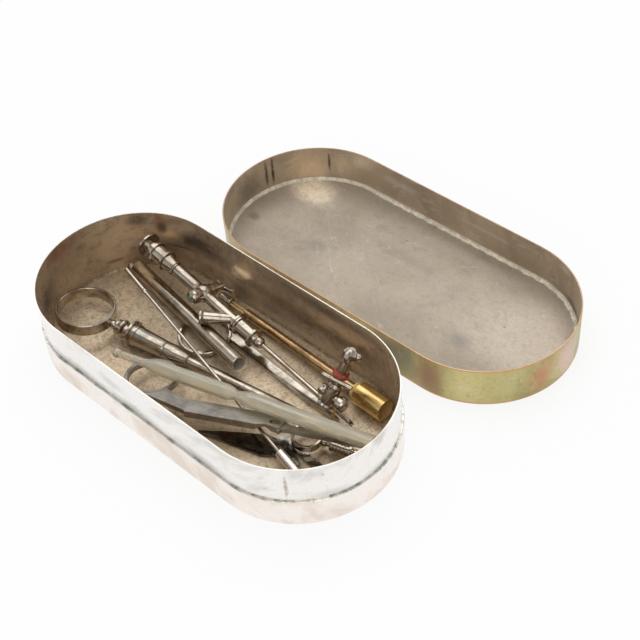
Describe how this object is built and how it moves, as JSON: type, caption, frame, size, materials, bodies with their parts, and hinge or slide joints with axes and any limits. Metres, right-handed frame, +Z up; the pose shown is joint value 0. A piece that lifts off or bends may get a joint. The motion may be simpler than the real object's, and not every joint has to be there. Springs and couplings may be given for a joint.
{
  "type": "surgical instrument case",
  "caption": "Nickel-plated obround pocket case with a lift-off lid lying upside down beside it, holding trocars, cannulas, a probe, forceps, scissors and a glass pipette.",
  "frame": {"origin": "on the table, under the middle of the base", "axes": "+X along the case towards the scissors' rings, +Y towards the lid, +Z up"},
  "size_m": [0.2002, 0.1779, 0.0343],
  "materials": {
    "plated_wall": "worn nickel plate over brass, tarnished brown inside",
    "plated_floor": "dull nickel plate, scratched and smudged",
    "grey_solder": "grey solder with green verdigris",
    "plated_tool": "old nickel plate, polished, finely scratched",
    "polished_steel": "ground and polished steel",
    "old_glass": "clear, yellowed by residue",
    "pale_handle": "satin nickel plate",
    "bright_brass": "bright brass",
    "dark_brass": "brass darkened with age",
    "red_washer": "perished"
  },
  "bodies": {
    "base": {"base_floor": "plated_floor", "base_wall": "plated_wall", "base_sleeve": "plated_wall", "base_solder": "grey_solder"},
    "lid": {"lid_plate": "plated_floor", "lid_wall": "plated_wall", "lid_solder": "grey_solder"},
    "lower_tools": {"trocar_stylet": "plated_tool", "trocar_cannula": "plated_tool", "small_trocar_stylet": "plated_tool", "small_trocar_cannula": "plated_tool", "scissor_half_lower": "polished_steel", "scissor_half_upper": "polished_steel", "scissors_screw": "polished_steel", "forceps_pinned_half": "polished_steel", "brass_tube": "dark_brass", "brass_socket": "bright_brass", "wire_ferrule": "plated_tool", "brass_prongs": "bright_brass", "plain_tube": "plated_tool", "ball_stylet": "plated_tool"},
    "probe": {"probe_rod": "plated_tool", "probe_handle": "pale_handle"},
    "slotted_forceps": {"forceps_slotted_half": "polished_steel"},
    "pipette": {"glass_pipette": "old_glass"},
    "stopcock": {"stopcock_body": "plated_tool", "stopcock_cap": "plated_tool", "needle_coupling": "plated_tool", "hollow_needle": "plated_tool"},
    "stopcock_key": {"stopcock_key": "plated_tool"},
    "valve": {"valve_body": "plated_tool", "valve_seal": "red_washer", "valve_nut": "plated_tool", "valve_pin": "bright_brass"},
    "valve_key": {"valve_key": "plated_tool"}
  },
  "joints": [
    {"name": "lid_lift", "type": "slide", "parent": "base", "child": "lid", "axis": [0, 0, 1], "range_m": [0, 0.06]},
    {"name": "lower_tools_lift", "type": "slide", "parent": "base", "child": "lower_tools", "axis": [0, 0, 1], "range_m": [0, 0.04]},
    {"name": "probe_lift", "type": "slide", "parent": "lower_tools", "child": "probe", "axis": [0, 0, 1], "range_m": [0, 0.04]},
    {"name": "slotted_forceps_lift", "type": "slide", "parent": "probe", "child": "slotted_forceps", "axis": [0, 0, 1], "range_m": [0, 0.04]},
    {"name": "pipette_lift", "type": "slide", "parent": "slotted_forceps", "child": "pipette", "axis": [0, 0, 1], "range_m": [0, 0.04]},
    {"name": "stopcock_lift", "type": "slide", "parent": "lower_tools", "child": "stopcock", "axis": [0, 0, 1], "range_m": [0, 0.04]},
    {"name": "stopcock_key_turn", "type": "hinge", "parent": "stopcock", "child": "stopcock_key", "pos_m": [-0.03035, 0.02289, 0.01609], "axis": [0.0268, 0.946, -0.323], "range_deg": [0, 90]},
    {"name": "valve_lift", "type": "slide", "parent": "stopcock", "child": "valve", "axis": [0, 0, 1], "range_m": [0, 0.04]},
    {"name": "valve_key_turn", "type": "hinge", "parent": "valve", "child": "valve_key", "pos_m": [0.05006, 0.01442, 0.0094], "axis": [0.1326, 0.493, 0.8599], "range_deg": [0, 90]}
  ]
}
